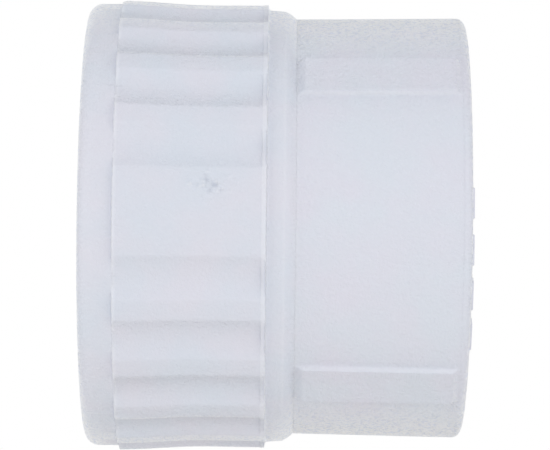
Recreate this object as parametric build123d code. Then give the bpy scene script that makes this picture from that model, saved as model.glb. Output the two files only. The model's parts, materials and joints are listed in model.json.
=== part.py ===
from build123d import *
import os
from math import cos, radians, sin, tan

from build123d.topology import SkipClean

# Union fitting for irrigation pipework, nominal 1 inch.
# A swivel nut turns freely on the neck of an outlet hub.  A split ring in a groove of the neck holds the
# nut on, and an O-ring in the neck's end face seals against the mating male thread's end.
#
# Sizes are in millimetres.  The flow axis is X.  Stations along the axis are counted from the nut's mouth,
# and the finished pieces are moved so that the origin is halfway along the fitting.
# Angles round the axis are counted from the -Y side and grow towards +Z.

# ---- Driving dimensions ----------------------------------------------------------------------------------
LENGTH = 37.15             # the nut's mouth to the hub's outlet face
NUT_LENGTH = 20.5
NUT_RIM_D = 44.0
HUB_D = 41.3               # beside the nut
HUB_OUTLET_D = 41.8        # at the outlet, because the moulding has draft
NECK_D = 27.2
WATERWAY_D = 20.0

# ---- Parallel pipe thread, G1: the same female thread at both ends ----------------------------------------
THREAD_MAJOR_R = 33.249 / 2
THREAD_MINOR_R = 30.291 / 2
THREAD_PITCH = 25.4 / 11
THREAD_FLANK_ANGLE = 27.5
THREAD_RELIEF_R = THREAD_MAJOR_R + 0.25
THREAD_OVERCUT = 0.3       # how far the groove's cutter reaches into the empty bore
SECTORS = 4                # equal shares of a turn that the nut, hub and split ring are made in
MOUTH_CHAMFER = 1.2        # along the axis

# ---- Clearances ------------------------------------------------------------------------------------------
RUNNING_GAP = 0.07         # radial, between the nut and the neck
FACE_GAP = 0.05            # axial, between faces that bear on each other
NUT_TO_HUB_GAP = 0.05      # axial, with the nut pushed back
NUT_FLOAT = 0.6            # how far the nut and the split ring can move towards the mouth

# ---- Nut -------------------------------------------------------------------------------------------------
NUT_RIM_WIDTH = 3.4
NUT_RIM_CORNER = 1.3
BAND_END = 17.75           # end of the scalloped grip band
BAND_WAIST = 11.8          # where the band is thinnest
BAND_START_R = 22.45
BAND_WAIST_R = 22.05
BAND_END_R = 22.1
BAND_LIP = 0.4             # unbroken lip that ends the flutes
COLLAR_END = 19.45         # plain band between the lip and the sloping tail
COLLAR_START_R = 21.5
COLLAR_END_R = 21.4
TAIL_BULGE = 0.05          # how far the sloping tail bulges from a plain cone
SHOULDER_THICKNESS = 3.4   # inward shoulder that turns on the neck
NUT_THREAD_END = 10.9
NUT_THREAD_TURNS = 6       # from before the mouth into the relief

FLUTE_PITCHES = 22         # one of them is left filled, where the moulding gate sits
FLUTE_PHASE = 3.45         # the filled one's angle
FLUTE_DEPTH = 0.52
FLUTE_WIDTH = 4.24

# ---- Hub -------------------------------------------------------------------------------------------------
HUB_START = NUT_LENGTH + NUT_TO_HUB_GAP
HUB_CORNER = 0.12
OUTLET_CORNER = 0.85
WEB_THICKNESS = 2.4        # wall between the neck and the outlet thread
HUB_RELIEF_WIDTH = 1.3
HUB_THREAD_TURNS = 6       # from the relief to past the outlet face
HUB_BORE_CORNER = 0.6
RIB_COUNT = 4
RIB_FIRST_ANGLE = 43.7
RIB_WIDTH = 4.4
RIB_HEIGHT = 0.4
RIB_END = 36.0
DASH_COUNT = 4             # plain raised dashes on the outlet face, in two equal groups
DASH_GROUPS = 2
DASH_SPAN = 9.0
DASH_PITCH = 13.0
DASH_CENTRE = -12.5
DASH_INNER_R = 18.2
DASH_OUTER_R = 19.6
DASH_HEIGHT = 0.2

# ---- Neck, split ring and O-ring -------------------------------------------------------------------------
NECK_START = 11.7          # sealing face
NECK_CORNER = 0.3
RING_THICKNESS = 1.8
RING_INNER_R = 12.45
RING_OUTER_R = 14.95
RING_OPENING = 24.0        # angle left open at the split
RING_OPENING_ANGLE = 90.0
RING_GROOVE_R = 12.4
SEAL_SECTION = 1.78
SEAL_SEAT_R = 12.6
SEAL_SEAT_DEPTH = 1.35
SEAL_SQUEEZE_GAP = 0.02


def turned(outline):
    """Solid of revolution about the flow axis, in equal sectors, so that no thread crest is one long face."""
    sector = revolve(outline, axis=Axis.X, revolution_arc=360 / SECTORS)
    return sector + [Rot(X=number * 360 / SECTORS) * sector for number in range(1, SECTORS)]


def outline_of(points):
    """Flat face from (station, radius) points."""
    return make_face(Polyline(*points, close=True))


def rounded_at(outline, point, radius):
    """The outline with the corner nearest to a (station, radius) point rounded."""
    corner = outline.vertices().sort_by_distance(Vector(*point))[0]
    return fillet(corner, radius)


def at_angle(shape, angle):
    """Turn a shape that was modelled on the -Y side to an angle round the axis."""
    return Rot(X=-angle) * shape


def thread_cutters(start, turns):
    """Helical groove of the female thread, one solid a turn, to take away from a bore of the minor radius."""
    flank_slope = tan(radians(THREAD_FLANK_ANGLE))
    root_half = THREAD_PITCH / 4 - (THREAD_MAJOR_R - THREAD_MINOR_R) * flank_slope / 2
    inner_r = THREAD_MINOR_R - THREAD_OVERCUT
    inner_half = root_half + (THREAD_MAJOR_R - inner_r) * flank_slope
    section = make_face(
        Polyline(
            (inner_r, 0, -inner_half),
            (THREAD_MAJOR_R, 0, -root_half),
            (THREAD_MAJOR_R, 0, root_half),
            (inner_r, 0, inner_half),
            close=True,
        )
    )
    one_turn = Helix(pitch=THREAD_PITCH, height=THREAD_PITCH, radius=THREAD_MINOR_R)
    groove = Rot(Y=90) * sweep(section, path=one_turn, is_frenet=True)
    return [Pos(start + turn * THREAD_PITCH, 0, 0) * groove for turn in range(turns)]


def flute_cutter():
    """One grip flute on the -Y side: a round bar bent along the waist of the band."""
    bar_r = FLUTE_WIDTH ** 2 / (8 * FLUTE_DEPTH) + FLUTE_DEPTH / 2
    lift = bar_r - FLUTE_DEPTH
    path = ThreePointArc(
        (NUT_RIM_WIDTH, -BAND_START_R - lift, 0),
        (BAND_WAIST, -BAND_WAIST_R - lift, 0),
        (BAND_END - BAND_LIP, -BAND_END_R - lift, 0),
    )
    return sweep(Plane(origin=path @ 0, z_dir=path % 0) * Circle(bar_r), path=path)


def union_nut():
    """Swivel nut: plain rim, scalloped grip band, plain collar, sloping tail, female thread."""
    rim_r = NUT_RIM_D / 2
    tail_r = HUB_D / 2
    seat = NUT_LENGTH - SHOULDER_THICKNESS
    bore_r = NECK_D / 2 + RUNNING_GAP
    corner_turn = NUT_RIM_CORNER * (1 - cos(radians(45)))
    rim_corner = ThreePointArc(
        (0, rim_r - NUT_RIM_CORNER), (corner_turn, rim_r - corner_turn), (NUT_RIM_CORNER, rim_r)
    )
    rim_edge = Polyline((NUT_RIM_CORNER, rim_r), (NUT_RIM_WIDTH, rim_r), (NUT_RIM_WIDTH, BAND_START_R))
    band = ThreePointArc(
        (NUT_RIM_WIDTH, BAND_START_R), (BAND_WAIST, BAND_WAIST_R), (BAND_END, BAND_END_R)
    )
    collar = Polyline((BAND_END, BAND_END_R), (BAND_END, COLLAR_START_R), (COLLAR_END, COLLAR_END_R))
    tail_middle = ((COLLAR_END + NUT_LENGTH) / 2 + TAIL_BULGE, (COLLAR_END_R + tail_r) / 2 + TAIL_BULGE)
    tail = ThreePointArc((COLLAR_END, COLLAR_END_R), tail_middle, (NUT_LENGTH, tail_r))
    inside = Polyline(
        (NUT_LENGTH, tail_r),
        (NUT_LENGTH, bore_r),
        (seat, bore_r),
        (seat, THREAD_RELIEF_R),
        (NUT_THREAD_END, THREAD_RELIEF_R),
        (NUT_THREAD_END, THREAD_MINOR_R),
        (MOUTH_CHAMFER, THREAD_MINOR_R),
        (0, THREAD_RELIEF_R),
        (0, rim_r - NUT_RIM_CORNER),
    )
    outline = Wire([rim_corner, *rim_edge.edges(), band, *collar.edges(), tail, *inside.edges()])
    nut = turned(make_face(outline))
    flutes = [
        at_angle(flute_cutter(), FLUTE_PHASE + number * 360 / FLUTE_PITCHES)
        for number in range(1, FLUTE_PITCHES)
    ]
    return nut - flutes - thread_cutters(-THREAD_PITCH, NUT_THREAD_TURNS)


def neck_outline():
    """(station, radius) points of the neck's outside and end face, from the hub back to the waterway."""
    neck_r = NECK_D / 2
    groove_end = NUT_LENGTH - SHOULDER_THICKNESS
    groove_start = groove_end - RING_THICKNESS - NUT_FLOAT - 2 * FACE_GAP
    return [
        (HUB_START, neck_r),
        (groove_end, neck_r),
        (groove_end, RING_GROOVE_R),
        (groove_start, RING_GROOVE_R),
        (groove_start, neck_r),
        (NECK_START + NECK_CORNER, neck_r),
        (NECK_START, neck_r - NECK_CORNER),
        (NECK_START, SEAL_SEAT_R),
        (NECK_START + SEAL_SEAT_DEPTH, SEAL_SEAT_R),
        (NECK_START + SEAL_SEAT_DEPTH, WATERWAY_D / 2),
    ]


def hub_outline():
    """(station, radius) points of the hub's bore and outside, from the waterway round to the neck."""
    web_end = HUB_START + WEB_THICKNESS
    relief_end = web_end + HUB_RELIEF_WIDTH
    return [
        (web_end - HUB_BORE_CORNER, WATERWAY_D / 2),
        (web_end, WATERWAY_D / 2 + HUB_BORE_CORNER),
        (web_end, THREAD_RELIEF_R),
        (relief_end, THREAD_RELIEF_R),
        (relief_end, THREAD_MINOR_R),
        (LENGTH - MOUTH_CHAMFER, THREAD_MINOR_R),
        (LENGTH, THREAD_RELIEF_R),
        (LENGTH, HUB_OUTLET_D / 2),
        (HUB_START, HUB_D / 2),
    ]


def grip_rib():
    """One flat-topped rib on the -Y side, tilted with the hub's draft."""
    rib_length = RIB_END - HUB_START
    draft_rise = (HUB_OUTLET_D - HUB_D) / 2 * rib_length / (LENGTH - HUB_START)
    root_depth = 1.0
    side = Polyline(
        (HUB_START, -HUB_D / 2 - RIB_HEIGHT, 0),
        (RIB_END, -HUB_D / 2 - draft_rise - RIB_HEIGHT, 0),
        (RIB_END, -HUB_D / 2 + root_depth, 0),
        (HUB_START, -HUB_D / 2 + root_depth, 0),
        close=True,
    )
    return extrude(make_face(side), amount=RIB_WIDTH / 2, both=True)


def outlet_dash():
    """One plain raised dash on the outlet face, on the -Y side."""
    half = radians(DASH_SPAN / 2)
    corners = [
        (LENGTH, -radius * cos(angle), radius * sin(angle))
        for radius, angle in (
            (DASH_INNER_R, -half),
            (DASH_OUTER_R, -half),
            (DASH_OUTER_R, half),
            (DASH_INNER_R, half),
        )
    ]
    return extrude(make_face(Polyline(*corners, close=True)), amount=DASH_HEIGHT, dir=(1, 0, 0))


def outlet_hub():
    """Outlet hub and neck, moulded as one: grip ribs outside, waterway and female thread inside."""
    outline = outline_of(neck_outline() + hub_outline())
    outline = rounded_at(outline, (LENGTH, HUB_OUTLET_D / 2), OUTLET_CORNER)
    outline = rounded_at(outline, (HUB_START, HUB_D / 2), HUB_CORNER)
    ribs = [
        at_angle(grip_rib(), RIB_FIRST_ANGLE + number * 360 / RIB_COUNT) for number in range(RIB_COUNT)
    ]
    first_dash = DASH_CENTRE - (DASH_COUNT - 1) * DASH_PITCH / 2
    dashes = [
        at_angle(outlet_dash(), first_dash + number * DASH_PITCH + group * 360 / DASH_GROUPS)
        for group in range(DASH_GROUPS)
        for number in range(DASH_COUNT)
    ]
    hub = turned(outline) + ribs + dashes
    thread_start = HUB_START + WEB_THICKNESS + THREAD_PITCH / 2
    return hub - thread_cutters(thread_start, HUB_THREAD_TURNS)


def retaining_ring():
    """Split ring that sits in the neck's groove and holds the nut on."""
    end = NUT_LENGTH - SHOULDER_THICKNESS - FACE_GAP
    start = end - RING_THICKNESS
    ring = turned(
        outline_of(
            [(start, RING_INNER_R), (end, RING_INNER_R), (end, RING_OUTER_R), (start, RING_OUTER_R)]
        )
    )
    opening_width = 2 * RING_OUTER_R * sin(radians(RING_OPENING / 2))
    opening = Pos((start + end) / 2, -RING_OUTER_R, 0) * Box(2 * RING_THICKNESS, RING_OUTER_R, opening_width)
    return ring - at_angle(opening, RING_OPENING_ANGLE)


def o_ring():
    """Face seal, lying against the outer wall of its seat in the neck's end."""
    section_r = SEAL_SECTION / 2
    centre_r = SEAL_SEAT_R - SEAL_SQUEEZE_GAP - section_r
    centre_x = NECK_START + SEAL_SEAT_DEPTH - SEAL_SQUEEZE_GAP - section_r
    return Pos(centre_x, 0, 0) * Rot(Y=90) * Torus(centre_r, section_r)


def main():
    os.makedirs("parts", exist_ok=True)
    with SkipClean():  # keeps the sectors' faces apart
        pieces = {
            "union_nut": union_nut(),
            "outlet_hub": outlet_hub(),
            "retaining_ring": retaining_ring(),
            "o_ring": o_ring(),
        }
    for name, piece in pieces.items():
        placed = Pos(-LENGTH / 2, 0, 0) * piece
        placed.label = name
        export_step(placed, f"parts/{name}.step")


main()
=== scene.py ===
import json
import math

import bpy
import numpy as np
from mathutils import Matrix, Vector


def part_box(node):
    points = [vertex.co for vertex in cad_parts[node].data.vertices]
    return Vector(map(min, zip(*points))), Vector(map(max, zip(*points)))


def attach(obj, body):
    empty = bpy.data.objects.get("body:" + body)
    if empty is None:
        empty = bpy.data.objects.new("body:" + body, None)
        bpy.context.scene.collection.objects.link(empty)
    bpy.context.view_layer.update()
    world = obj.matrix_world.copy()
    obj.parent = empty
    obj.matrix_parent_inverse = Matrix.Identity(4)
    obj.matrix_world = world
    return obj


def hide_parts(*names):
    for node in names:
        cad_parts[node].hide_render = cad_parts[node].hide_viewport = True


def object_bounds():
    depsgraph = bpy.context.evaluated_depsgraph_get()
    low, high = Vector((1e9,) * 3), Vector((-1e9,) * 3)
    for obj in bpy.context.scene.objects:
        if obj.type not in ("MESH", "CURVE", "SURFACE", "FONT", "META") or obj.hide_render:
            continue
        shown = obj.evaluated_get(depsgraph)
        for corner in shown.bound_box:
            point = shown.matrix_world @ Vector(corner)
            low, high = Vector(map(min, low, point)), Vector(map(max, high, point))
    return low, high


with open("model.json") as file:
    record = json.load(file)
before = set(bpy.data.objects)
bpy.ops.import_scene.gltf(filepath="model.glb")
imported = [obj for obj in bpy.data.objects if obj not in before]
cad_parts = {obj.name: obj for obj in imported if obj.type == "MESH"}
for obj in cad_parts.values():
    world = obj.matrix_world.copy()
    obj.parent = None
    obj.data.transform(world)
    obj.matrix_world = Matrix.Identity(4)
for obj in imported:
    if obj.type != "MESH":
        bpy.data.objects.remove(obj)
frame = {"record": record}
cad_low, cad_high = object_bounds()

# Looks of the union fitting: swivel nut, outlet hub, split ring and O-ring.
#
# Lengths are in millimetres until a mesh is made.  A station is the distance along the flow axis from the
# nut's mouth.  An angle goes round the axis from the -Y side, grows towards +Z and is in degrees.

MM = 0.001

# ---- Sizes read from the frame -----------------------------------------------------------------------------
nut_low, nut_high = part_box("union_nut")
hub_low, hub_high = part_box("outlet_hub")
ring_low, ring_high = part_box("retaining_ring")
seal_low, seal_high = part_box("o_ring")
MOUTH_X = nut_low.x


def station(x):
    """Station in millimetres of a place along X in metres."""
    return (x - MOUTH_X) / MM


mounts = {mount["name"]: mount for mount in frame["record"]["mounts"]}
THREAD_MINOR_R = mounts["nut_thread"]["dims"]["r_mm"]
RUNNING_GAP = 0.05         # between nut and hub in CAD
JOINT_CLOSING = 0.0245     # each side of that joint stands this much nearer to the other than in CAD
NUT_END = station(nut_high.x) + JOINT_CLOSING
DASH_HEIGHT = 0.2
HUB_END = station(hub_high.x) - DASH_HEIGHT
NECK_START = station(hub_low.x)
RING_START = station(ring_low.x)
RING_END = station(ring_high.x)
RING_OUTER_R = ring_high.y / MM
SEAL_OUTER_R = seal_high.y / MM
SEAL_SECTION_R = (seal_high.x - seal_low.x) / MM / 2
SEAL_STATION = station((seal_low.x + seal_high.x) / 2)

# ---- Painted highlights on edges and painted light against shade, where 1 is the crest of the nut's step ---
LIP_HIGHLIGHT = 0.85
FOLD_HIGHLIGHT = 0.5           # painted highlight on the fold between collar and tail
PLAIN_FILL_LIGHT = 0.2          # painted light against shade on the nut's plain rim and collar
JOINT_FILL_LIGHT = 0.5          # painted light against the crease's shade right beside the joint between nut and hub
JOINT_FILL_WIDTH = 0.5           # width beside the joint over which that fades

# ---- Thread, the same at both ends -------------------------------------------------------------------------
THREAD_PITCH = 25.4 / 11
THREAD_MAJOR_R = 33.249 / 2
THREAD_FLANK_ANGLE = 27.5
THREAD_RELIEF_DEPTH = 0.25
THREAD_RELIEF_R = THREAD_MAJOR_R + THREAD_RELIEF_DEPTH
THREAD_STEP = 0.1          # mesh step along the thread
THREAD_SOFTNESS = 0.3      # share of the flank that rounds into crest and root
MOUTH_CHAMFER = 1.2
ROW_MARGIN = 0.3           # wide mesh rows keep this far from the narrow ones beside them
SMALL_CORNER = 0.12        # fillet of the turned grooves and seats inside both parts
WEB_CORNER = 0.4           # fillet at the foot of both thread reliefs

# ---- Nut ---------------------------------------------------------------------------------------------------
RIM_R = 22.0
RIM_END = 3.3
RIM_CORNER = 1.3
STEP_WIDTH = 0.15          # the rounded step from the rim up to the lands
STEP_HIGHLIGHT_FADE = 0.2            # the step crest's painted highlight fades over this much of the lands
BAND_END = 17.75           # end of the scalloped band
BAND_WAIST = 11.8          # where the band is thinnest
BAND_START_R = 22.43
BAND_WAIST_R = 22.05
BAND_END_R = 22.08
LIP_START = 17.25
LIP_RISE = 0.12            # width of the slope from the flute floor up to the lip
LIP_HEIGHT = 0.2           # above the flute floor
LIP_PROUD = 0.03           # above the lands
LIP_FILLET = 0.3           # at the foot of the lip, on the collar
COLLAR_START_R = 21.5
COLLAR_END = 19.45
COLLAR_END_R = 21.4
NUT_TAIL_R = 20.65
TAIL_BULGE = 0.05          # how far the sloping tail bulges from a plain cone
NUT_BORE_R = 13.67
SHOULDER_THICKNESS = 3.4   # inward shoulder that turns on the neck
NUT_SEAT = NUT_END - JOINT_CLOSING - SHOULDER_THICKNESS
NUT_THREAD_END = 10.9
NUT_THREAD_START = -THREAD_PITCH

FLUTE_PITCHES = 22
FLUTE_PHASE = 3.45         # angle of the flute that is left filled
FLUTE_DEPTH = 0.58
FLUTE_HALF = 5.5           # half of a flute's width, as an angle
FLUTE_SOFTNESS = 0.14      # rounding between flute and land, as a share of the depth
HOLLOW_SHARPNESS = 2.5     # how fast the painted glint gives way at a flute's edge

GATE_STATION = 12.5        # scar of the moulding gate on the filled flute
GATE_ANGLE = 10.5
GATE_DEPTH = 0.2           # of the pit in the scar's middle
GATE_PIT = (0.5, 0.7)      # the pit's reach along and across the axis
GATE_FLECKS = 70
GATE_LENGTH = 2.6          # the flecks reach this far along the axis
GATE_WIDTH = 1.5           # and this far across it
GATE_FLECK_SIZE = (0.12, 0.24)
GATE_FLECK_RISE = (-0.15, 0.22)
GATE_SEED = 11
GATE_LIGHTNESS = 6.0       # how light the flecks look, for each millimetre they stand up
GATE_LIGHTEST = 0.2        # height from which they look no lighter

SPLIT_ANGLES = (36.6, 304.6)   # witness lines where the mould's halves met
SPLIT_START = 0.8
SPLIT_END = 5.6
SPLIT_HEIGHT = 0.03
SPLIT_WIDTH = 0.12         # as an angle
SPLIT_FADES = (0.5, 1.5)   # lengths over which a line rises and sinks

# ---- Hub ---------------------------------------------------------------------------------------------------
HUB_START = NUT_END + RUNNING_GAP - 2 * JOINT_CLOSING
HUB_R = 20.65
HUB_OUTLET_R = 20.9
HUB_CORNER = 0.003         # tiny, so that the joint shows no dark groove
OUTLET_CORNER = 0.85
WEB_THICKNESS = 2.4        # wall between the neck and the outlet's thread
WEB_END = HUB_START + JOINT_CLOSING + WEB_THICKNESS
HUB_RELIEF_WIDTH = 1.3
HUB_RELIEF_END = WEB_END + HUB_RELIEF_WIDTH
HUB_THREAD_START = WEB_END + THREAD_PITCH / 2
HUB_BORE_CORNER = 0.6
WATERWAY_R = 10.0
WATERWAY_CORNER = 0.25
NECK_R = 13.6
NECK_CORNER = 0.3
RING_GROOVE_R = 12.4
RING_CLEARANCE = 0.05      # between the split ring and its groove
RING_TRAVEL = 0.6          # the ring slides this far with the nut
RING_GROOVE_START = RING_START - RING_TRAVEL - RING_CLEARANCE
RING_GROOVE_END = RING_END + RING_CLEARANCE
SEAL_CLEARANCE = 0.02
SEAL_SEAT_R = SEAL_OUTER_R + SEAL_CLEARANCE
SEAL_SEAT_DEPTH = 1.35
RIB_COUNT = 4
RIB_FIRST_ANGLE = 43.7
RIB_HALF_WIDTH = 2.2
RIB_HEIGHT = 0.4
RIB_SIDE = 0.3             # width of a rib's sloping side
RIB_END = HUB_END - OUTLET_CORNER
RIB_FADE = 0.8             # length over which a rib sinks into the body at the outlet
RIB_START_FADE = 0.9       # length over which it rises at the nut

DASH_GROUPS = 2            # groups of plain dashes on the outlet's face
DASH_COUNT = 4             # in each group
DASH_CENTRE = -12.5        # angle of the first group's middle
DASH_SPAN = 9.0            # length of a dash, as an angle
DASH_PITCH = 13.0          # from one dash to the next, as an angle
DASH_INNER_R = 18.2
DASH_OUTER_R = 19.6
DASH_EDGE = 0.12           # width of a dash's sloping edge

# ---- Split ring --------------------------------------------------------------------------------------------
RING_INNER_R = RING_GROOVE_R + RING_CLEARANCE
RING_OPENING_HALF = 12.0   # half of the split, as an angle
RING_OPENING_ANGLE = 90.0
RING_EDGE = 0.18
RING_TIP = 0.86            # size of the section at the split's two ends, which rounds them

# ---- O-ring ------------------------------------------------------------------------------------------------
FLASH_HEIGHT = 0.015       # the thin flash line that the O-ring's mould leaves
FLASH_SHARPNESS = 0.08


# ---- Mesh helpers ------------------------------------------------------------------------------------------
def smooth(t):
    """0 to 1 with level ends."""
    t = np.clip(t, 0.0, 1.0)
    return t * t * (3.0 - 2.0 * t)


def wrapped(angle, period=360.0):
    """An angle brought to within half a period of zero."""
    return (angle + period / 2) % period - period / 2


def rounded(corners, arc_step=18.0):
    """Closed outline from (station, radius, fillet) corners, with each fillet as a short arc."""
    points = []
    for index, (along, radius, fillet) in enumerate(corners):
        here = np.array([along, radius], float)
        before = np.array(corners[index - 1][:2], float) - here
        after = np.array(corners[(index + 1) % len(corners)][:2], float) - here
        if fillet <= 0:
            points.append(here)
            continue
        before = before / np.linalg.norm(before)
        after = after / np.linalg.norm(after)
        half = math.acos(float(np.clip(before @ after, -1, 1))) / 2
        middle = (before + after) / np.linalg.norm(before + after)
        centre = here + middle * fillet / math.sin(half)
        first = here + before * fillet / math.tan(half) - centre
        last = here + after * fillet / math.tan(half) - centre
        turn = math.atan2(first[0] * last[1] - first[1] * last[0], first @ last)
        steps = max(2, round(abs(math.degrees(turn)) / arc_step))
        for step in range(steps + 1):
            angle = turn * step / steps
            points.append(
                centre
                + np.array(
                    [
                        first[0] * math.cos(angle) - first[1] * math.sin(angle),
                        first[0] * math.sin(angle) + first[1] * math.cos(angle),
                    ]
                )
            )
    return points


def stretch(start, end, count):
    """Points evenly spaced from start towards end, without the end."""
    start, end = np.array(start, float), np.array(end, float)
    return [start + (end - start) * step / count for step in range(count)]


def joined(**sections):
    """One outline from its named sections, and the rows that each of them takes up."""
    outline = []
    rows = {}
    for name, points in sections.items():
        rows[name] = slice(len(outline), len(outline) + len(points))
        outline += points
    return outline, rows


def lathe_grids(outline, angles):
    """Grids of station and radius: one row for each outline point, one column for each angle."""
    columns = np.zeros_like(angles)[None, :]
    stations = np.array([point[0] for point in outline])[:, None] + columns
    radii = np.array([point[1] for point in outline])[:, None] + columns
    return stations, radii


def lathe_mesh(name, stations, radii, angles):
    """Closed surface from grids of station and radius, one row for each outline point."""
    rows, columns = stations.shape
    turn = np.radians(angles)[None, :]
    points = np.stack(
        [
            MOUTH_X + stations * MM,
            -radii * np.cos(turn) * MM,
            radii * np.sin(turn) * MM,
        ],
        axis=-1,
    ).reshape(-1, 3)
    row = np.arange(rows)[:, None]
    column = np.arange(columns)[None, :]
    next_row = (row + 1) % rows
    next_column = (column + 1) % columns
    quads = np.stack(
        [
            row * columns + column,
            row * columns + next_column,
            next_row * columns + next_column,
            next_row * columns + column,
        ],
        axis=-1,
    ).reshape(-1, 4)
    return mesh_object(name, points, quads)


def mesh_object(name, points, faces, sharp_angle=50.0):
    """Smooth-shaded object whose folds over sharp_angle stay crisp."""
    mesh = bpy.data.meshes.new(name)
    mesh.from_pydata(points.tolist(), [], [list(map(int, face)) for face in faces])
    mesh.validate()
    mesh.shade_smooth()
    mesh.set_sharp_from_angle(angle=math.radians(sharp_angle))
    piece = bpy.data.objects.new(name, mesh)
    bpy.context.scene.collection.objects.link(piece)
    return piece


def point_values(piece, name, values):
    """Gives each of the mesh's points a number that the material reads by name."""
    piece.data.attributes.new(name, "FLOAT", "POINT").data.foreach_set("value", values.ravel())


def merged_angles(*groups, closest=0.04):
    """Sorted angles from 0 to 360 with near-duplicates left out."""
    angles = np.sort(np.concatenate([np.asarray(group, float) % 360 for group in groups]))
    kept = [angles[0]]
    for angle in angles[1:]:
        if angle - kept[-1] > closest:
            kept.append(angle)
    return np.array(kept)


def thread_radius(along, angle, thread_start, mouth, inward):
    """Bore radius of the female thread, opened by the chamfer at its mouth."""
    run = (THREAD_MAJOR_R - THREAD_MINOR_R) * math.tan(math.radians(THREAD_FLANK_ANGLE))
    root_half = THREAD_PITCH / 4 - run / 2
    centre = thread_start - THREAD_PITCH * (0.25 + angle / 360)
    off_centre = np.abs(wrapped(along - centre, THREAD_PITCH))
    depth = np.clip((root_half + run - off_centre) / run, 0, 1)
    depth = (1 - THREAD_SOFTNESS) * depth + THREAD_SOFTNESS * smooth(depth)
    groove = THREAD_MINOR_R + (THREAD_MAJOR_R - THREAD_MINOR_R) * depth
    into_mouth = (along - mouth) * inward
    opened = THREAD_RELIEF_R - into_mouth / MOUTH_CHAMFER * (THREAD_RELIEF_R - THREAD_MINOR_R)
    return np.maximum(groove, opened)


# ---- Nut ---------------------------------------------------------------------------------------------------
def flute_share(angle):
    """How deep in a flute an angle is: 0 on a land, 1 at a flute's middle.  The gate's flute is filled."""
    pitch = 360 / FLUTE_PITCHES
    number = np.round((angle - FLUTE_PHASE) / pitch)
    off_centre = angle - FLUTE_PHASE - number * pitch
    hollow = 1 - (off_centre / FLUTE_HALF) ** 2
    softened = (hollow + np.sqrt(hollow ** 2 + FLUTE_SOFTNESS ** 2)) / 2
    filled = np.mod(number, FLUTE_PITCHES) == 0
    return np.where(filled, 0.0, softened)


def band_crest(along):
    """Radius of the lands: an hourglass, thinnest at the waist."""
    before = smooth((BAND_WAIST - along) / (BAND_WAIST - RIM_END)) * (BAND_START_R - BAND_WAIST_R)
    after = smooth((along - BAND_WAIST) / (BAND_END - BAND_WAIST)) * (BAND_END_R - BAND_WAIST_R)
    return BAND_WAIST_R + before + after


def gate_scar(along, angle):
    """Height of the torn gate scar: a rough pit with flecks round it, which are flatter further out."""
    rng = np.random.default_rng(GATE_SEED)
    across = np.radians(wrapped(angle - GATE_ANGLE)) * BAND_WAIST_R
    lengthwise = along - GATE_STATION
    pit_length, pit_width = GATE_PIT
    height = -GATE_DEPTH * np.exp(-(lengthwise / pit_length) ** 2 - (across / pit_width) ** 2)
    for _ in range(GATE_FLECKS):
        reach = rng.uniform(0.15, 1.0)
        bearing = rng.uniform(0, 2 * math.pi)
        centre_along = GATE_LENGTH * reach * math.cos(bearing)
        centre_across = GATE_WIDTH * reach * math.sin(bearing)
        size = rng.uniform(*GATE_FLECK_SIZE)
        rise = rng.uniform(*GATE_FLECK_RISE) * (1.25 - 0.7 * reach)
        spread = ((lengthwise - centre_along) ** 2 + (across - centre_across) ** 2) / size ** 2
        height += rise * np.exp(-spread)
    return height


def witness_line(along, angle):
    """Height of the fine ridges that the mould's halves left on the rim and on the start of the band."""
    across = np.min([np.abs(wrapped(angle - split)) for split in SPLIT_ANGLES], axis=0)
    rising, sinking = SPLIT_FADES
    run = smooth((along - SPLIT_START) / rising) * smooth((SPLIT_END - along) / sinking)
    return SPLIT_HEIGHT * run * np.exp(-((across / SPLIT_WIDTH) ** 2))


def nut_outside(along, angle):
    """Radius of the scalloped band with its step, lip and gate scar."""
    crest = band_crest(along)
    share = flute_share(angle)
    floor_rise = smooth((along - LIP_START) / LIP_RISE)
    depth = FLUTE_DEPTH - LIP_HEIGHT * floor_rise
    radius = crest + LIP_PROUD * floor_rise - depth * share + gate_scar(along, angle)
    lift = 1 - (1 - np.clip((along - RIM_END) / STEP_WIDTH, 0, 1)) ** 3
    return RIM_R + (radius - RIM_R) * lift


def nut_painted_highlights(along):
    """Painted highlight on the lip and on the step's crest: 0 elsewhere."""
    lip = LIP_HIGHLIGHT * smooth((along - LIP_START) / LIP_RISE) * (along <= BAND_END)
    step_rise = smooth((along - RIM_END) / STEP_WIDTH * 2)
    step_fall = smooth((RIM_END + STEP_WIDTH + STEP_HIGHLIGHT_FADE - along) / STEP_HIGHLIGHT_FADE)
    return np.maximum(lip, step_rise * step_fall)


def nut_angles():
    """Angles of the nut's mesh columns, close together at flute edges and at the gate scar."""
    half = 360 / FLUTE_PITCHES / 2
    shares = np.array([0, 0.22, 0.44, 0.62, 0.78, 0.88, 0.94, 0.97, 1.0, 1.03, 1.07, 1.15, 1.35])
    offsets = np.append(shares * FLUTE_HALF, half)
    both_sides = np.concatenate([-offsets, offsets])
    centres = FLUTE_PHASE + np.arange(FLUTE_PITCHES) * 360 / FLUTE_PITCHES
    flutes = (centres[:, None] + both_sides[None, :]).ravel()
    scar = GATE_ANGLE + np.arange(-4.5, 4.5, 0.27)
    ridge = SPLIT_WIDTH * np.array([-2.5, -1.2, -0.6, 0, 0.6, 1.2, 2.5])
    ridges = np.add.outer(SPLIT_ANGLES, ridge).ravel()
    return merged_angles(flutes, scar, ridges)


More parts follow.
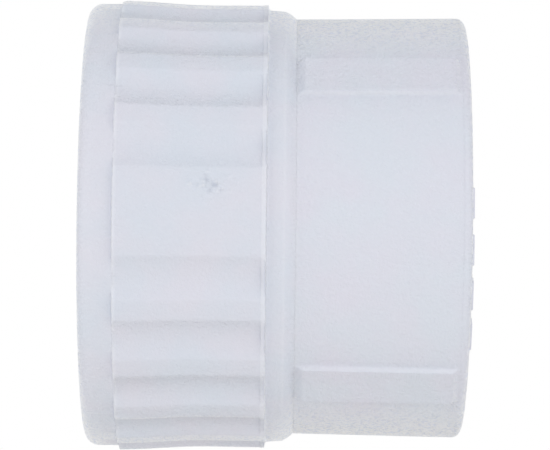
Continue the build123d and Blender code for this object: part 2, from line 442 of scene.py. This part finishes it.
def nut_band_stations():
    """Stations of the mesh rows on the scalloped band, close together at the step, the scar and the lip."""
    step = RIM_END + STEP_WIDTH * np.array([0, 0.08, 0.2, 0.4, 0.7, 1.0])
    scar = np.arange(GATE_STATION - GATE_LENGTH, GATE_STATION + GATE_LENGTH, 0.12)
    before_scar = np.linspace(step[-1] + ROW_MARGIN, scar[0] - ROW_MARGIN, 12)
    after_scar = np.linspace(scar[-1] + ROW_MARGIN, LIP_START - ROW_MARGIN / 2, 6)
    lip = np.array([LIP_START, LIP_START + 0.04, LIP_START + 0.08, LIP_START + LIP_RISE])
    lip_top = np.array([BAND_END - 0.12, BAND_END - 0.05])
    return np.concatenate([step, before_scar, scar, after_scar, lip, lip_top])


def nut_rim():
    """Outline of the rim, from its rounded mouth to the foot of the step."""
    corners = [
        (0, THREAD_RELIEF_R, 0),
        (0, RIM_R, RIM_CORNER),
        (RIM_END, RIM_R, 0),
        (RIM_END, THREAD_RELIEF_R, 0),
    ]
    return rounded(corners, arc_step=9.0)[1:-2]


def nut_collar():
    """Outline of the plain collar, with the fillet at the foot of the lip."""
    fillet = [
        (
            BAND_END + LIP_FILLET * (1 - math.cos(turn)),
            COLLAR_START_R + LIP_FILLET * (1 - math.sin(turn)),
        )
        for turn in np.linspace(0, math.pi / 2, 7)
    ]
    plain_start = (BAND_END + LIP_FILLET + 0.2, COLLAR_START_R - 0.01)
    return fillet + stretch(plain_start, (COLLAR_END, COLLAR_END_R), 5)


def nut_tail():
    """Outline of the bulging slope from the collar to the joint, with one row very near its end."""
    points = []
    for share in np.append(np.linspace(0, 0.98, 9), 1):
        bulge = TAIL_BULGE * math.sin(math.pi * share)
        along = COLLAR_END + (NUT_END - COLLAR_END) * share + bulge
        radius = COLLAR_END_R + (NUT_TAIL_R - COLLAR_END_R) * share + bulge
        points.append((along, radius))
    return points


def nut_inside():
    """Outline from the back face through the bore to the end of the thread."""
    corners = [
        (NUT_END, NUT_TAIL_R, 0),
        (NUT_END, NUT_BORE_R, 0.2),
        (NUT_SEAT, NUT_BORE_R, 0.15),
        (NUT_SEAT, THREAD_RELIEF_R, WEB_CORNER),
        (NUT_THREAD_END, THREAD_RELIEF_R, SMALL_CORNER),
        (NUT_THREAD_END, THREAD_MINOR_R, 0),
    ]
    return rounded(corners)[1:-1]


def nut_painted_light_and_flecks(stations, angles, rows):
    """Painted highlight on the nut's lip, step crest and fold, painted light against shade on its rim, collar
    and beside the joint, and how light the gate's flecks look, for each of its points.
    """
    band, tail = rows["band"], rows["tail"]
    flecks = np.clip(gate_scar(stations[band], angles[None, :]), 0, GATE_LIGHTEST)
    painted_light_and_flecks = np.zeros_like(stations)
    painted_light_and_flecks[rows["rim"]] = PLAIN_FILL_LIGHT
    painted_light_and_flecks[band] = nut_painted_highlights(stations[band]) + GATE_LIGHTNESS * flecks
    painted_light_and_flecks[rows["collar"]] = PLAIN_FILL_LIGHT
    painted_light_and_flecks[tail] = JOINT_FILL_LIGHT * smooth((stations[tail] - NUT_END + JOINT_FILL_WIDTH) / JOINT_FILL_WIDTH)
    painted_light_and_flecks[tail.start] = FOLD_HIGHLIGHT
    return painted_light_and_flecks


def nut_mesh():
    """The swivel nut as one closed surface."""
    thread_stations = np.arange(NUT_THREAD_END - 0.02, 0.02, -THREAD_STEP)
    outline, rows = joined(
        rim=nut_rim(),
        band=[(along, BAND_END_R) for along in nut_band_stations()],
        lip_edge=[(BAND_END - 0.01, BAND_END_R - 0.03), (BAND_END, BAND_END_R - 0.12)],
        collar=nut_collar(),
        tail=nut_tail(),
        inside=nut_inside(),
        thread=[(along, THREAD_MINOR_R) for along in thread_stations],
        mouth=[(0.0, THREAD_RELIEF_R)],
    )
    angles = nut_angles()
    stations, radii = lathe_grids(outline, angles)
    band, thread = rows["band"], rows["thread"]
    rim_and_band = slice(0, band.stop)
    radii[band] = nut_outside(stations[band], angles[None, :])
    radii[rim_and_band] += witness_line(stations[rim_and_band], angles[None, :])
    radii[thread] = thread_radius(stations[thread], angles[None, :], NUT_THREAD_START, mouth=0.0, inward=1)
    nut = lathe_mesh("union_nut_skin", stations, radii, angles)
    # Where the flutes are hollow, which keeps the painted glint out of them
    hollow = np.zeros_like(stations)
    hollow[band] = np.clip(HOLLOW_SHARPNESS * flute_share(angles), 0, 1)
    # Painted highlights, painted light against shade, and the gate's flecks
    point_values(nut, "painted_light_and_flecks", nut_painted_light_and_flecks(stations, angles, rows))
    point_values(nut, "hollow", hollow)
    return nut


# ---- Hub ---------------------------------------------------------------------------------------------------
def hub_body_radius(along):
    """Outside radius of the hub's plain body, which has draft."""
    return HUB_R + (HUB_OUTLET_R - HUB_R) * (along - HUB_START) / (HUB_END - HUB_START)


def rib_shape(along, angle):
    """Radius of the ribs' flat tops, and how far up the ribs' sides and ends a place is, each 0 to 1."""
    off_centre = wrapped(angle - RIB_FIRST_ANGLE, 360 / RIB_COUNT)
    flat_r = (hub_body_radius(along) + RIB_HEIGHT) / np.cos(np.radians(off_centre))
    across = np.abs(flat_r * np.sin(np.radians(off_centre)))
    side = smooth((RIB_HALF_WIDTH + RIB_SIDE - across) / RIB_SIDE)
    ends = smooth((RIB_END - along) / RIB_FADE) * smooth((along - HUB_START) / RIB_START_FADE)
    return flat_r, side, ends


def hub_outside(along, angle, plain):
    """Radius of the hub's body with its flat-topped grip ribs."""
    flat_r, side, ends = rib_shape(along, angle)
    return plain + (flat_r - plain) * side * ends


def hub_painted_light(along, angle):
    """Painted highlight on the hub, 1 halfway up the ribs' sides, and weaker painted light against the shade
    beside the joint: 0 elsewhere.
    """
    _, side, ends = rib_shape(along, angle)
    joint = JOINT_FILL_LIGHT * smooth((HUB_START + JOINT_FILL_WIDTH - along) / JOINT_FILL_WIDTH)
    return np.maximum(4 * side * (1 - side) * ends, joint)


def dash_lift(radius, angle):
    """How far the outlet face is raised by the plain dashes."""
    group_angle = wrapped(angle - DASH_CENTRE, 360 / DASH_GROUPS)
    last_number = DASH_COUNT / 2 - 0.5
    number = np.clip(np.round(group_angle / DASH_PITCH - 0.5) + 0.5, -last_number, last_number)
    off_centre = np.abs(group_angle - number * DASH_PITCH)
    along_edge = np.radians(DASH_SPAN / 2 - off_centre) * radius
    across_edge = np.minimum(radius - DASH_INNER_R, DASH_OUTER_R - radius)
    return DASH_HEIGHT * smooth(np.minimum(along_edge, across_edge) / DASH_EDGE)


def hub_angles():
    """Angles of the hub's mesh columns, close together at rib sides and dash ends."""
    rib_half = math.degrees(math.asin(RIB_HALF_WIDTH / (HUB_R + RIB_HEIGHT)))
    side = math.degrees(RIB_SIDE / HUB_R)
    offsets = rib_half + side * np.array([-1.2, -0.5, 0, 0.25, 0.5, 0.75, 1.0, 1.6])
    centres = RIB_FIRST_ANGLE + np.arange(RIB_COUNT) * 360 / RIB_COUNT
    ribs = np.concatenate([centres[:, None] + offsets, centres[:, None] - offsets], axis=1).ravel()
    dash_edge = math.degrees(DASH_EDGE / DASH_OUTER_R)
    dash_offsets = DASH_SPAN / 2 - dash_edge * np.array([0, 0.33, 0.66, 1.0])
    first = DASH_CENTRE - (DASH_COUNT - 1) * DASH_PITCH / 2
    dash_centres = np.concatenate(
        [
            first + np.arange(DASH_COUNT) * DASH_PITCH + group * 360 / DASH_GROUPS
            for group in range(DASH_GROUPS)
        ]
    )
    dashes = np.concatenate(
        [dash_centres[:, None] + dash_offsets, dash_centres[:, None] - dash_offsets], axis=1
    ).ravel()
    return merged_angles(np.arange(0, 360, 1.25), ribs, dashes)


def hub_body():
    """Outline of the hub's body from the joint to the outlet's corner, with rows where the ribs end."""
    start_edge = rounded([(HUB_START, HUB_R, HUB_CORNER), (HUB_END, HUB_R, 0), (HUB_START, 0, 0)])[:-2]
    rib_rise = HUB_START + RIB_START_FADE * np.array([0.1, 0.2, 0.35, 0.5, 0.65, 0.8, 0.9, 1.0])
    plain = np.linspace(HUB_START + RIB_START_FADE + 0.06, RIB_END - RIB_FADE - ROW_MARGIN, 34)
    rib_fall = RIB_END - RIB_FADE * np.linspace(1, 0, 7)
    body = [(along, hub_body_radius(along)) for along in np.concatenate([rib_rise, plain, rib_fall])]
    return [(HUB_START, HUB_R - 0.3)] + start_edge + body


def hub_face():
    """Outline of the outlet's flat face, with rows for the dashes' sloping edges."""
    edge = DASH_EDGE * np.array([0, 0.33, 0.66, 1.0])
    radii = [DASH_OUTER_R + 0.15, *(DASH_OUTER_R - edge), (DASH_OUTER_R + DASH_INNER_R) / 2]
    radii += [*(DASH_INNER_R + edge[::-1]), DASH_INNER_R - 0.3, THREAD_RELIEF_R + 0.1, THREAD_RELIEF_R]
    return [(HUB_END, radius) for radius in radii]


def hub_inside():
    """Outline from the outlet thread's relief through the waterway, the O-ring's seat and the neck."""
    seat_end = NECK_START + SEAL_SEAT_DEPTH
    corners = [
        (HUB_RELIEF_END, THREAD_MINOR_R, 0),
        (HUB_RELIEF_END, THREAD_RELIEF_R, SMALL_CORNER),
        (WEB_END, THREAD_RELIEF_R, WEB_CORNER),
        (WEB_END, WATERWAY_R, HUB_BORE_CORNER),
        (seat_end, WATERWAY_R, WATERWAY_CORNER),
        (seat_end, SEAL_SEAT_R, SMALL_CORNER),
        (NECK_START, SEAL_SEAT_R, SMALL_CORNER),
        (NECK_START, NECK_R, NECK_CORNER),
        (RING_GROOVE_START, NECK_R, SMALL_CORNER),
        (RING_GROOVE_START, RING_GROOVE_R, SMALL_CORNER),
        (RING_GROOVE_END, RING_GROOVE_R, SMALL_CORNER),
        (RING_GROOVE_END, NECK_R, SMALL_CORNER),
        (HUB_START, NECK_R, 0.15),
        (HUB_START, HUB_R, 0),
    ]
    return rounded(corners)[1:-1]


def hub_mesh():
    """The outlet hub and its neck as one closed surface."""
    outlet_edge = [(HUB_START, HUB_R, 0), (HUB_END, HUB_OUTLET_R, OUTLET_CORNER), (HUB_END, 0, 0)]
    thread_stations = np.arange(HUB_END - 0.03, HUB_RELIEF_END + 0.02, -THREAD_STEP)
    outline, rows = joined(
        body=hub_body(),
        outlet_corner=rounded(outlet_edge, arc_step=9.0)[1:-1],
        face=hub_face(),
        thread=[(along, THREAD_MINOR_R) for along in thread_stations],
        inside=hub_inside(),
    )
    angles = hub_angles()
    stations, radii = lathe_grids(outline, angles)
    body, face, thread = rows["body"], rows["face"], rows["thread"]
    radii[body] = hub_outside(stations[body], angles[None, :], radii[body])
    stations[face] += dash_lift(radii[face], angles[None, :])
    radii[thread] = thread_radius(
        stations[thread], angles[None, :], HUB_THREAD_START, mouth=HUB_END, inward=-1
    )
    hub = lathe_mesh("outlet_hub_skin", stations, radii, angles)
    # Painted highlight on the ribs' sides and painted light against the shade beside the joint
    painted_light_and_flecks = np.zeros_like(stations)
    painted_light_and_flecks[body] = hub_painted_light(stations[body], angles[None, :])
    point_values(hub, "painted_light_and_flecks", painted_light_and_flecks)
    return hub


# ---- Split ring and O-ring ---------------------------------------------------------------------------------
def ring_mesh():
    """The split ring: a rounded bar section carried round the axis, closed at both ends of the split."""
    section = rounded(
        [
            (RING_START, RING_OUTER_R, RING_EDGE),
            (RING_END, RING_OUTER_R, RING_EDGE),
            (RING_END, RING_INNER_R, RING_EDGE),
            (RING_START, RING_INNER_R, RING_EDGE),
        ],
        arc_step=30.0,
    )
    centre = np.array([(RING_START + RING_END) / 2, (RING_INNER_R + RING_OUTER_R) / 2])
    first = RING_OPENING_ANGLE + RING_OPENING_HALF
    last = RING_OPENING_ANGLE + 360 - RING_OPENING_HALF
    angles = np.concatenate([[first], np.linspace(first + 0.5, last - 0.5, 180), [last]])
    shrink = np.ones(len(angles))
    shrink[[0, -1]] = RING_TIP
    points = []
    for angle, share in zip(angles, shrink):
        for corner in section:
            along, radius = centre + (corner - centre) * share
            turn = math.radians(angle)
            points.append(
                (MOUTH_X + along * MM, -radius * math.cos(turn) * MM, radius * math.sin(turn) * MM)
            )
    around = len(section)
    faces = [
        (
            row * around + column,
            (row + 1) * around + column,
            (row + 1) * around + (column + 1) % around,
            row * around + (column + 1) % around,
        )
        for row in range(len(angles) - 1)
        for column in range(around)
    ]
    faces.append(tuple(range(around)))
    faces.append(tuple(reversed(range((len(angles) - 1) * around, len(angles) * around))))
    return mesh_object("retaining_ring_skin", np.array(points), faces)


def seal_mesh():
    """The O-ring, with the thin flash line that its mould leaves inside and outside."""
    centre_r = SEAL_OUTER_R - SEAL_SECTION_R
    turns = np.radians(np.arange(0, 360, 10))
    flash = FLASH_HEIGHT * np.exp(-((np.sin(turns) / FLASH_SHARPNESS) ** 2))
    section_r = SEAL_SECTION_R - FLASH_HEIGHT + flash
    outline_radii = centre_r + section_r * np.cos(turns)
    outline_stations = SEAL_STATION - SEAL_SECTION_R * np.sin(turns)
    angles = np.arange(0, 360, 2.0)
    stations, radii = lathe_grids(list(zip(outline_stations, outline_radii)), angles)
    return lathe_mesh("o_ring_skin", stations, radii, angles)


# ---- Materials ---------------------------------------------------------------------------------------------
class Nodes:
    """A new material, with short names for the node calls that every material here makes."""

    def __init__(self, name):
        self.material = bpy.data.materials.new(name)
        self.material.use_nodes = True
        self.tree = self.material.node_tree
        self.shader = self.tree.nodes["Principled BSDF"]
        coordinates = self.tree.nodes.new("ShaderNodeTexCoord")
        scaled = self.tree.nodes.new("ShaderNodeMapping")
        scaled.inputs["Scale"].default_value = (1 / MM, 1 / MM, 1 / MM)
        self.link(coordinates.outputs["Object"], scaled.inputs["Vector"])
        self.place = scaled.outputs["Vector"]

    def link(self, source, target):
        """Joins an output to an input."""
        self.tree.links.new(source, target)

    def noise(self, size, detail=2.0, roughness=0.5, stretched=None):
        """Noise whose blotches are about size millimetres across."""
        node = self.tree.nodes.new("ShaderNodeTexNoise")
        node.inputs["Scale"].default_value = 1 / size
        node.inputs["Detail"].default_value = detail
        node.inputs["Roughness"].default_value = roughness
        place = self.place
        if stretched:
            mapping = self.tree.nodes.new("ShaderNodeMapping")
            mapping.inputs["Scale"].default_value = stretched
            self.link(place, mapping.inputs["Vector"])
            place = mapping.outputs["Vector"]
        self.link(place, node.inputs["Vector"])
        return node.outputs["Fac"]

    def ranged(self, value, low, high, from_low=0.35, from_high=0.65):
        """A value spread from one range over another."""
        node = self.tree.nodes.new("ShaderNodeMapRange")
        node.inputs["From Min"].default_value = from_low
        node.inputs["From Max"].default_value = from_high
        node.inputs["To Min"].default_value = low
        node.inputs["To Max"].default_value = high
        self.link(value, node.inputs["Value"])
        return node.outputs["Result"]

    def product(self, first, second):
        """One value times another."""
        node = self.tree.nodes.new("ShaderNodeMath")
        node.operation = "MULTIPLY"
        self.link(first, node.inputs[0])
        self.link(second, node.inputs[1])
        return node.outputs["Value"]

    def attribute(self, name):
        """A number carried by the mesh's points."""
        node = self.tree.nodes.new("ShaderNodeAttribute")
        node.attribute_name = name
        return node.outputs["Fac"]

    def facing(self):
        """0 where the surface is seen square on, 1 where it is seen edge on."""
        return self.tree.nodes.new("ShaderNodeLayerWeight").outputs["Facing"]

    def mixed(self, share, first, second):
        """A colour between two others."""
        node = self.tree.nodes.new("ShaderNodeMix")
        node.data_type = "RGBA"
        self.link(share, node.inputs["Factor"])
        for socket, colour in (("A", first), ("B", second)):
            target = [i for i in node.inputs if i.name == socket and i.type == "RGBA"][0]
            if isinstance(colour, tuple):
                target.default_value = (*colour, 1.0)
            else:
                self.link(colour, target)
        return [o for o in node.outputs if o.type == "RGBA"][0]

    def bump(self, height, distance, strength=1.0, after=None):
        """Bump of a height texture, distance in millimetres, on top of an earlier bump."""
        node = self.tree.nodes.new("ShaderNodeBump")
        node.inputs["Distance"].default_value = distance * MM
        if isinstance(strength, bpy.types.NodeSocket):
            self.link(strength, node.inputs["Strength"])
        else:
            node.inputs["Strength"].default_value = strength
        self.link(height, node.inputs["Height"])
        if after is not None:
            self.link(after, node.inputs["Normal"])
        return node.outputs["Normal"]

    def finish(self, **values):
        """Sets the shader's inputs, each by its name in small letters, and hands back the material."""
        for name, value in values.items():
            socket = self.shader.inputs[name.replace("_", " ").title()]
            if isinstance(value, bpy.types.NodeSocket):
                self.link(value, socket)
            else:
                socket.default_value = value
        return self.material


GLOW_DEPTH = 0.3                        # how far light spreads inside the white plastic
GLOW_SHARE = 0.12                       # share of the light that does
# white towards which the painted highlights, the painted light against shade and the gate's flecks are mixed
EDGE_WHITE = (0.88, 0.9, 0.95)
LIGHTENING_SHARE = 0.3                        # how far they go towards EDGE_WHITE
PAINTED_GLINT_DULL = (0.715, 0.775, 0.915)      # painted glint where the surface is seen edge on, in the grain's hollows
PAINTED_GLINT_BRIGHT = (0.95, 0.97, 1.0)        # and on the grain's tips
PAINTED_GLINT_END = 0.88                        # facing value from which the painted glint is full
GRAIN_FACING = 0.3                      # strength of the grain where it is seen square on


def moulded_plastic(name, cool, lavender, grain_size, grain_height, roughness, glint_start):
    """Moulded white plastic: cloudy tint, painted highlights and painted light against shade from the mesh's
    points, slow flow waves, and a painted glint, speckled by the grain, where it is seen edge on.
    """
    nodes = Nodes(name)
    tint = nodes.ranged(nodes.noise(6.0, detail=3.0), 0.0, 1.0)
    colour = nodes.mixed(tint, cool, lavender)
    # Painted highlights on edges and painted light against the shade of the joint, rim and collar, with the
    # gate's flecks, carried by the mesh's points
    painted_light_and_flecks = nodes.ranged(nodes.attribute("painted_light_and_flecks"), 0.0, LIGHTENING_SHARE, from_low=0.0, from_high=1.0)
    colour = nodes.mixed(painted_light_and_flecks, colour, EDGE_WHITE)
    grain = nodes.noise(grain_size, detail=3.0, roughness=0.6)
    # Painted glint, speckled by the grain, where the surface is seen edge on; left out where the flutes are
    # hollow
    painted_glint = nodes.mixed(nodes.ranged(grain, 0.0, 1.0, from_low=0.38, from_high=0.5), PAINTED_GLINT_DULL, PAINTED_GLINT_BRIGHT)
    glint_share = nodes.ranged(nodes.facing(), 0.0, 1.0, from_low=glint_start, from_high=PAINTED_GLINT_END)
    open_share = nodes.ranged(nodes.attribute("hollow"), 1.0, 0.0, from_low=0.0, from_high=1.0)
    colour = nodes.mixed(nodes.product(glint_share, open_share), colour, painted_glint)
    waves = nodes.noise(2.6, detail=1.0, stretched=(0.45, 1.0, 1.0))
    normal = nodes.bump(waves, 0.02)
    strength = nodes.ranged(nodes.facing(), GRAIN_FACING, 1.0, from_low=0.1, from_high=0.8)
    normal = nodes.bump(grain, grain_height, strength=strength, after=normal)
    gloss = nodes.ranged(nodes.noise(1.2, detail=4.0), roughness - 0.05, roughness + 0.06)
    return nodes.finish(
        base_color=colour,
        roughness=gloss,
        normal=normal,
        subsurface_weight=GLOW_SHARE,
        subsurface_scale=GLOW_DEPTH * MM,
        subsurface_radius=(1.0, 1.0, 1.0),
    )


def acetal():
    """Smooth, slightly warm plastic of the split ring, with faint turning lines."""
    nodes = Nodes("ring_acetal")
    tint = nodes.ranged(nodes.noise(4.0), 0.0, 1.0)
    colour = nodes.mixed(tint, (0.78, 0.77, 0.72), (0.82, 0.81, 0.77))
    lines = nodes.noise(0.12, detail=1.0, stretched=(1.0, 0.05, 0.05))
    return nodes.finish(base_color=colour, roughness=0.32, normal=nodes.bump(lines, 0.004))


def seal_rubber():
    """Black moulded rubber with a fine matt grain and a little dust."""
    nodes = Nodes("seal_rubber")
    dust = nodes.ranged(nodes.noise(0.8, detail=5.0), 0.0, 0.5, from_low=0.5, from_high=0.8)
    colour = nodes.mixed(dust, (0.012, 0.012, 0.013), (0.05, 0.05, 0.052))
    grain = nodes.noise(0.12, detail=3.0)
    return nodes.finish(base_color=colour, roughness=0.48, normal=nodes.bump(grain, 0.006))


# ---- Pieces ------------------------------------------------------------------------------------------------
def place(piece, node, body, slot, material):
    """Puts a piece in place of its CAD node."""
    piece.data.materials.append(material)
    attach(piece, body)
    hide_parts(node)


nut_white = moulded_plastic(
    "nut_white",
    cool=(0.688, 0.733, 0.82),
    lavender=(0.722, 0.73, 0.815),
    grain_size=0.3,
    grain_height=0.4,
    roughness=0.42,
    glint_start=0.5,
)
hub_white = moulded_plastic(
    "hub_white",
    cool=(0.708, 0.75, 0.832),
    lavender=(0.73, 0.737, 0.828),
    grain_size=0.34,
    grain_height=0.6,
    roughness=0.5,
    glint_start=0.42,
)
place(nut_mesh(), "union_nut", "nut", "nut_plastic", nut_white)
place(hub_mesh(), "outlet_hub", "hub", "hub_plastic", hub_white)
place(ring_mesh(), "retaining_ring", "ring", "ring_plastic", acetal())
place(seal_mesh(), "o_ring", "hub", "seal_rubber", seal_rubber())


# ---- Stage, light and camera -------------------------------------------------------------------------------
BACKGROUND = 1.0           # what the camera sees behind the object
WORLD_GLOW = 0.775         # what the surroundings throw on the object
FLOOR_GLOW = 0.83          # what the floor throws on the object
FLOOR_TINT = (1.03, 1.008, 0.985)
FLOOR_HALF = 2.0           # metres from the middle to each side
SOFTBOX_SIDE = 62.0        # angle of each softbox from the camera, seen from above
SOFTBOX_DISTANCE = 0.7     # metres, as the next two
SOFTBOX_HEIGHT = 0.06
SOFTBOX_SIZE = 0.5
FRONT_POWER = 0.52         # watts
SIDE_POWER = 0.93
CAMERA_DISTANCE = 0.320    # metres, as the rise
CAMERA_RISE = 0.00012
CAMERA_ROLL = 0.6          # angle
CAMERA_PIXELS_PER_MM = 10.0
IMAGE_WIDTH = 550


def seen_and_thrown(tree, emitter, tint, thrown):
    """Shader that is plain white to the camera and to mirrored rays, and throws a set light elsewhere."""
    glow = tree.nodes.new(emitter)
    glow.inputs["Color"].default_value = (*tint, 1.0)
    glow.inputs["Strength"].default_value = thrown
    seen = tree.nodes.new(emitter)
    seen.inputs["Color"].default_value = (1.0, 1.0, 1.0, 1.0)
    seen.inputs["Strength"].default_value = BACKGROUND
    path = tree.nodes.new("ShaderNodeLightPath")
    either = tree.nodes.new("ShaderNodeMath")
    either.operation = "MAXIMUM"
    mix = tree.nodes.new("ShaderNodeMixShader")
    tree.links.new(path.outputs["Is Camera Ray"], either.inputs[0])
    tree.links.new(path.outputs["Is Glossy Ray"], either.inputs[1])
    tree.links.new(either.outputs["Value"], mix.inputs["Fac"])
    tree.links.new(glow.outputs[0], mix.inputs[1])
    tree.links.new(seen.outputs[0], mix.inputs[2])
    return mix.outputs["Shader"]


def white_stage():
    """Lit pale floor: plain white to the camera, and a soft light from below on the object."""
    material = bpy.data.materials.new("pale_floor")
    material.use_nodes = True
    tree = material.node_tree
    tree.nodes.remove(tree.nodes["Principled BSDF"])
    shader = seen_and_thrown(tree, "ShaderNodeEmission", FLOOR_TINT, FLOOR_GLOW)
    tree.links.new(shader, tree.nodes["Material Output"].inputs["Surface"])
    return material


def build_floor():
    """The pale floor under the object."""
    mesh = bpy.data.meshes.new("floor")
    low = cad_low.z
    corners = [
        (-FLOOR_HALF, -FLOOR_HALF, low),
        (FLOOR_HALF, -FLOOR_HALF, low),
        (FLOOR_HALF, FLOOR_HALF, low),
        (-FLOOR_HALF, FLOOR_HALF, low),
    ]
    mesh.from_pydata(corners, [], [(0, 1, 2, 3)])
    floor = bpy.data.objects.new("floor", mesh)
    bpy.context.scene.collection.objects.link(floor)
    floor.data.materials.append(white_stage())


def build_world():
    """White surroundings."""
    world = bpy.data.worlds.new("studio")
    bpy.context.scene.world = world
    world.use_nodes = True
    tree = world.node_tree
    tree.nodes.remove(tree.nodes["Background"])
    shader = seen_and_thrown(tree, "ShaderNodeBackground", (1.0, 1.0, 1.0), WORLD_GLOW)
    tree.links.new(shader, tree.nodes["World Output"].inputs["Surface"])


def add_softbox(name, angle, power):
    """Soft light at an angle from the camera, seen from above, aimed at the object."""
    light = bpy.data.lights.new(name, "AREA")
    light.shape = "DISK"
    light.size = SOFTBOX_SIZE
    light.energy = power
    lamp = bpy.data.objects.new(name, light)
    turn = math.radians(angle)
    lamp.location = (SOFTBOX_DISTANCE * math.sin(turn), -SOFTBOX_DISTANCE * math.cos(turn), SOFTBOX_HEIGHT)
    lamp.rotation_euler = (-lamp.location).to_track_quat("-Z", "Y").to_euler()
    bpy.context.scene.collection.objects.link(lamp)


def build_camera():
    """Camera level with the axis, square on to it from the -Y side and slightly rolled."""
    data = bpy.data.cameras.new("camera")
    data.sensor_width = 36.0
    data.lens = CAMERA_PIXELS_PER_MM * CAMERA_DISTANCE / MM / IMAGE_WIDTH * data.sensor_width
    data.clip_start = 0.01
    camera = bpy.data.objects.new("camera", data)
    level = Vector((0, 1, 0)).to_track_quat("-Z", "Y").to_matrix().to_4x4()
    roll = Matrix.Rotation(math.radians(CAMERA_ROLL), 4, "Z")
    camera.matrix_world = Matrix.Translation((0, -CAMERA_DISTANCE, CAMERA_RISE)) @ level @ roll
    bpy.context.scene.collection.objects.link(camera)
    bpy.context.scene.camera = camera


build_floor()
build_world()
add_softbox("front_softbox", 0.0, FRONT_POWER)
add_softbox("left_softbox", -SOFTBOX_SIDE, SIDE_POWER)
add_softbox("right_softbox", SOFTBOX_SIDE, SIDE_POWER)
build_camera()
bpy.context.scene.view_settings.view_transform = "Standard"
